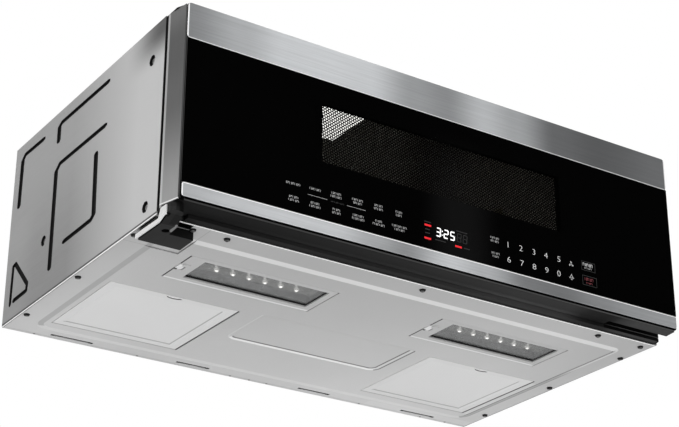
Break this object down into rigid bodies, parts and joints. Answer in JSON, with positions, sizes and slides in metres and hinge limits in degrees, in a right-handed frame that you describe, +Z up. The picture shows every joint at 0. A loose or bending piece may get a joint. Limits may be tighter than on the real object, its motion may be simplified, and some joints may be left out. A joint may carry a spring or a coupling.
{
  "type": "over-the-range microwave",
  "caption": "Low, wide over-the-range microwave with a side-hung full-width glass door, oven cavity, vent blower, grease filters and cooktop lamps.",
  "frame": {"origin": "middle of the wall plate's back face, which is the wall plane, at half the case height", "axes": "+X to the right seen from the front, +Y into the wall, +Z up; the door faces -Y"},
  "size_m": [0.759, 0.476, 0.2982],
  "materials": {
    "case_steel": "satin silver paint",
    "base_steel": "light silver paint",
    "zinc_steel": "zinc-plated sheet",
    "dark_steel": "black enamel",
    "oven_enamel": "light enamel",
    "lamp_glass": "frosted",
    "mica": "mica sheet",
    "fins": "bare",
    "iron": "varnished laminations and windings",
    "can": "bare",
    "black_plastic": "fine texture",
    "white_plastic": "smooth",
    "motor_steel": "plated",
    "carbon": "granular",
    "tray_glass": "clear",
    "lens": "clear",
    "board": "solder mask",
    "led_board": "white solder mask",
    "filter_mesh": "woven mesh in a frame",
    "damper": "bare",
    "hinge_steel": "plated",
    "black_glass": "back-printed black",
    "stainless": "brushed",
    "door_paint": "satin silver paint",
    "screen_steel": "dark enamel",
    "window_film": "tinted",
    "display": "gloss",
    "spring_steel": "drawn"
  },
  "bodies": {
    "case": {"case_wrapper": "case_steel", "base_panel": "base_steel", "back_panel": "zinc_steel", "wall_plate": "zinc_steel", "front_plate": "dark_steel", "oven_cavity": "oven_enamel", "cavity_lamp_cover": "lamp_glass", "cavity_lamp": "white_plastic", "mica_cover": "mica", "waveguide": "zinc_steel", "magnetron": "fins", "hv_transformer": "iron", "hv_capacitor": "can", "cooling_fan_shroud": "black_plastic", "cooling_fan_motor": "motor_steel", "blower_housing": "zinc_steel", "blower_motor": "motor_steel", "charcoal_filter": "carbon", "turntable_motor": "motor_steel", "lamp_housing_left": "zinc_steel", "lamp_board_left": "led_board", "lamp_housing_right": "zinc_steel", "lamp_board_right": "led_board", "exhaust_louvre": "black_plastic", "exhaust_adapter": "zinc_steel", "cord_gland": "black_plastic", "interlock_block": "white_plastic", "lower_hinge_bracket": "hinge_steel", "lower_hinge_cover": "black_plastic", "upper_hinge_bracket": "hinge_steel", "lower_hinge_pin": "hinge_steel", "upper_hinge_pin": "hinge_steel"},
    "door": {"door_glass": "black_glass", "top_trim": "stainless", "bottom_trim": "stainless", "door_shell": "door_paint", "door_bottom_rail": "black_plastic", "door_frame": "dark_steel", "window_screen": "screen_steel", "door_inner_panel": "black_plastic", "inner_window": "window_film", "control_board": "board", "display_module": "display", "latch_spring": "spring_steel"},
    "latch": {"latch_bar": "white_plastic"},
    "turntable": {"turntable_coupler": "white_plastic"},
    "tray": {"glass_tray": "tray_glass"},
    "ring": {"roller_ring": "white_plastic"},
    "roller_1": {"roller_1": "white_plastic"},
    "roller_2": {"roller_2": "white_plastic"},
    "roller_3": {"roller_3": "white_plastic"},
    "blower": {"blower_rotor": "black_plastic"},
    "fan": {"cooling_fan": "white_plastic"},
    "filter_left": {"grease_filter_left": "filter_mesh"},
    "filter_right": {"grease_filter_right": "filter_mesh"},
    "lamp_cover_left": {"lamp_frame_left": "base_steel", "lamp_lens_left": "lens"},
    "lamp_cover_right": {"lamp_frame_right": "base_steel", "lamp_lens_right": "lens"},
    "damper": {"damper_flap": "damper"}
  },
  "joints": [
    {"name": "door_hinge", "type": "hinge", "parent": "case", "child": "door", "pos_m": [-0.369, -0.454, 0], "axis": [0, 0, -1], "range_deg": [0, 100]},
    {"name": "latch_slide", "type": "slide", "parent": "door", "child": "latch", "axis": [0, 0, 1], "range_m": [0, 0.005], "stiffness_N_per_m": 300, "springref_m": -0.006, "deforming": ["latch_spring"]},
    {"name": "turntable_spin", "type": "hinge", "parent": "case", "child": "turntable", "pos_m": [-0.03, -0.267, -0.068], "axis": [0, 0, 1], "continuous": true},
    {"name": "tray_lift", "type": "slide", "parent": "turntable", "child": "tray", "axis": [0, 0, 1], "range_m": [0, 0.06]},
    {"name": "ring_turn", "type": "hinge", "parent": "case", "child": "ring", "pos_m": [-0.03, -0.267, -0.0602], "axis": [0, 0, 1], "continuous": true},
    {"name": "roller_1_spin", "type": "hinge", "parent": "ring", "child": "roller_1", "pos_m": [-0.03, -0.1599, -0.0602], "axis": [0, 1, 0], "continuous": true},
    {"name": "roller_2_spin", "type": "hinge", "parent": "ring", "child": "roller_2", "pos_m": [-0.12275, -0.32055, -0.0602], "axis": [-0.866, -0.5, 0], "continuous": true},
    {"name": "roller_3_spin", "type": "hinge", "parent": "ring", "child": "roller_3", "pos_m": [0.06275, -0.32055, -0.0602], "axis": [0.866, -0.5, 0], "continuous": true},
    {"name": "blower_spin", "type": "hinge", "parent": "case", "child": "blower", "pos_m": [0, -0.065, 0.03], "axis": [1, 0, 0], "continuous": true},
    {"name": "fan_spin", "type": "hinge", "parent": "case", "child": "fan", "pos_m": [0.31, -0.084, 0.035], "axis": [0, 1, 0], "continuous": true},
    {"name": "filter_left_tilt", "type": "hinge", "parent": "case", "child": "filter_left", "pos_m": [-0.2425, -0.064, -0.129], "axis": [1, 0, 0], "range_deg": [0, 70]},
    {"name": "filter_right_tilt", "type": "hinge", "parent": "case", "child": "filter_right", "pos_m": [0.2425, -0.064, -0.129], "axis": [1, 0, 0], "range_deg": [0, 70]},
    {"name": "lamp_cover_left_drop", "type": "hinge", "parent": "case", "child": "lamp_cover_left", "pos_m": [-0.0837, -0.3135, -0.13015], "axis": [0, -1, 0], "range_deg": [0, 75]},
    {"name": "lamp_cover_right_drop", "type": "hinge", "parent": "case", "child": "lamp_cover_right", "pos_m": [0.2863, -0.3135, -0.13015], "axis": [0, -1, 0], "range_deg": [0, 75]},
    {"name": "damper_swing", "type": "hinge", "parent": "case", "child": "damper", "pos_m": [0, -0.0305, 0.1352], "axis": [-1, 0, 0], "range_deg": [0, 80]}
  ],
  "couplings": [
    {"joint": "ring_turn", "follows": "turntable_spin", "ratio": 0.5},
    {"joint": "roller_1_spin", "follows": "turntable_spin", "ratio": -7.14},
    {"joint": "roller_2_spin", "follows": "turntable_spin", "ratio": -7.14},
    {"joint": "roller_3_spin", "follows": "turntable_spin", "ratio": -7.14}
  ]
}
